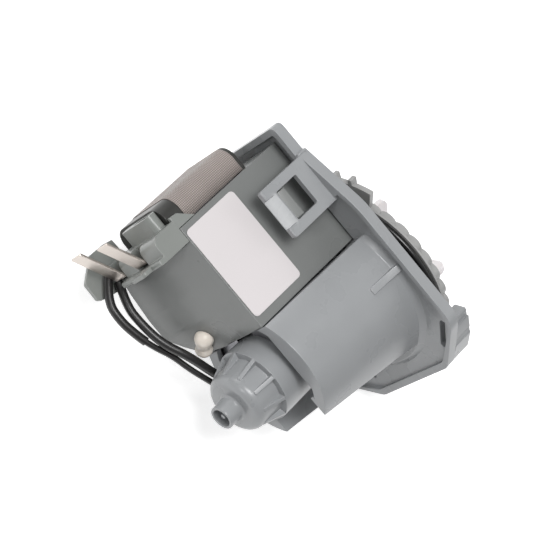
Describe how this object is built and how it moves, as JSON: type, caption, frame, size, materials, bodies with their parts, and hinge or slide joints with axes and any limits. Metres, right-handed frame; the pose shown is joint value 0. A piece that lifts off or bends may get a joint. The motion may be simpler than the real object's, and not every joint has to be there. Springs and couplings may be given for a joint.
{
  "type": "dishwasher drain pump",
  "caption": "Drain pump with a flange tray, gasket and bayonet lugs, a wet rotor in a ribbed can, an impeller with free play, and a moulded stator with spade terminals.",
  "frame": {"origin": "on the rotor axis, in the front face of the flange plate", "axes": "+X along the rotor axis towards the impeller, +Y towards the coils and terminals, +Z out of the label face"},
  "size_m": [0.0832, 0.0984, 0.066],
  "materials": {
    "body_grey": "moulded, light grey",
    "block_grey": "moulded, mid grey",
    "chamber_grey": "moulded, warm grey",
    "carrier_grey": "moulded, grey",
    "bobbin_dark": "moulded, dark grey",
    "gasket_rubber": "black",
    "seal_rubber": "black",
    "sleeve_black": "black sleeving",
    "sealant_white": "cured sealant",
    "impeller_white": "natural, translucent white",
    "dog_plastic": "natural",
    "bush_carbon": "carbon graphite",
    "shaft_steel": "ground",
    "magnet_ferrite": "sintered ferrite",
    "core_steel": "laminated electrical steel",
    "copper_wire": "enamelled wire",
    "terminal_metal": "tinned",
    "tape_cloth": "woven insulating tape",
    "label_film": "bare white film",
    "cutout_case": "moulded"
  },
  "bodies": {
    "housing": {"pump_body": "body_grey", "flange_gasket": "gasket_rubber", "chamber_plate": "chamber_grey", "cover_o_ring": "seal_rubber", "front_bush": "bush_carbon", "rear_bush": "bush_carbon", "rear_bush_cup": "seal_rubber", "shaft_seal": "seal_rubber", "stator_core": "core_steel", "coil_bobbins": "bobbin_dark", "coil_windings": "copper_wire", "stator_block": "block_grey", "coil_tape": "tape_cloth", "thermal_cutout": "cutout_case", "rating_label": "label_film", "spade_terminals": "terminal_metal", "terminal_carrier": "carrier_grey", "lead_outer": "sleeve_black", "lead_inner": "sleeve_black", "sealant_dab": "sealant_white"},
    "rotor": {"rotor_shaft": "shaft_steel", "rotor_sleeve": "dog_plastic", "rotor_magnet": "magnet_ferrite", "thrust_washers": "seal_rubber", "drive_dog": "dog_plastic", "dog_damper": "seal_rubber"},
    "impeller": {"impeller": "impeller_white", "impeller_cap": "impeller_white"}
  },
  "joints": [
    {"name": "rotor_spin", "type": "hinge", "parent": "housing", "child": "rotor", "pos_m": [0, 0, 0], "axis": [1, 0, 0], "continuous": true},
    {"name": "impeller_free_play", "type": "hinge", "parent": "rotor", "child": "impeller", "pos_m": [0.012, 0, 0], "axis": [1, 0, 0], "range_deg": [-128, 128]}
  ]
}
